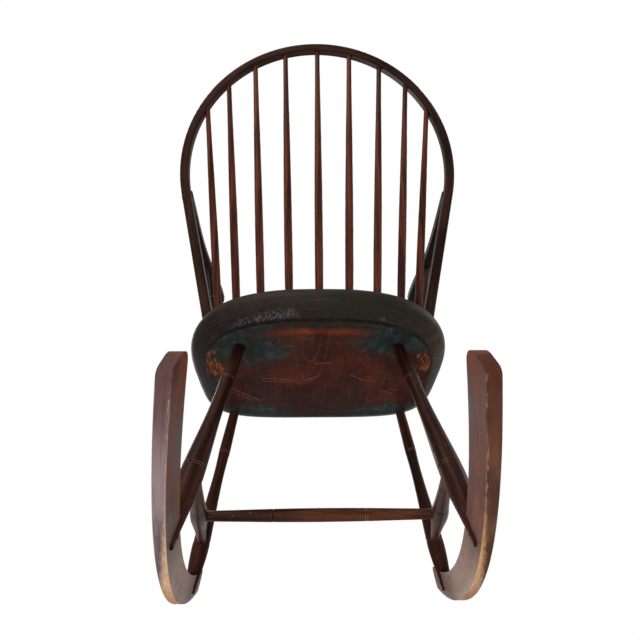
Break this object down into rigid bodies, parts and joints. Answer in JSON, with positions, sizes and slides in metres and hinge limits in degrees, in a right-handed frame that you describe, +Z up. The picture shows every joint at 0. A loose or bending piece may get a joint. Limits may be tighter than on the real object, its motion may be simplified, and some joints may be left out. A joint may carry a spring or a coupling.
{
  "type": "rocking chair",
  "caption": "Bow-back wooden armchair on curved rockers, with a shaped plank seat, turned spindles, splayed bamboo-turned legs and an H-shaped stretcher.",
  "frame": {"origin": "on the floor, under the centre of the chair's bounding box", "axes": "+X towards the sitter's left, -Y the way the sitter faces, +Z up; the seat's underside is level at rest"},
  "size_m": [0.584, 0.8638, 0.9809],
  "materials": {
    "seat": "worn red, green and blue-grey paint over a dark seat, rubbed and scratched",
    "bow": "old dark varnish over bent wood, with a dull sheen",
    "spindles": "worn reddish brown stain on turned spindles",
    "arms": "near-black varnish, rubbed at the edges",
    "legs": "dark brown varnish over bamboo-turned legs, scribed rings rubbed pale",
    "stretchers": "dark brown varnish on turned stretchers",
    "rockers": "brown varnish worn to bare golden wood where the rockers meet the floor",
    "end_grain": "dark end grain of wedges",
    "pegs": "dark end grain of pegs"
  },
  "bodies": {
    "root": {"spindle_1": "spindles", "spindle_2": "spindles", "spindle_3": "spindles", "spindle_4": "spindles", "spindle_5": "spindles", "spindle_6": "spindles", "spindle_7": "spindles", "spindle_8": "spindles", "spindle_9": "spindles", "bow_wedges": "end_grain", "cross_stretcher": "stretchers", "seat": "seat", "bow": "bow", "leg_wedges": "end_grain", "rocker_pegs": "pegs", "arm_left": "arms", "arm_right": "arms", "arm_post_left": "spindles", "arm_post_right": "spindles", "arm_spindle_left": "spindles", "arm_spindle_right": "spindles", "rocker_left": "rockers", "rocker_right": "rockers", "leg_rear_left": "legs", "leg_rear_right": "legs", "leg_front_left": "legs", "leg_front_right": "legs", "side_stretcher_left": "stretchers", "side_stretcher_right": "stretchers"}
  },
  "joints": []
}
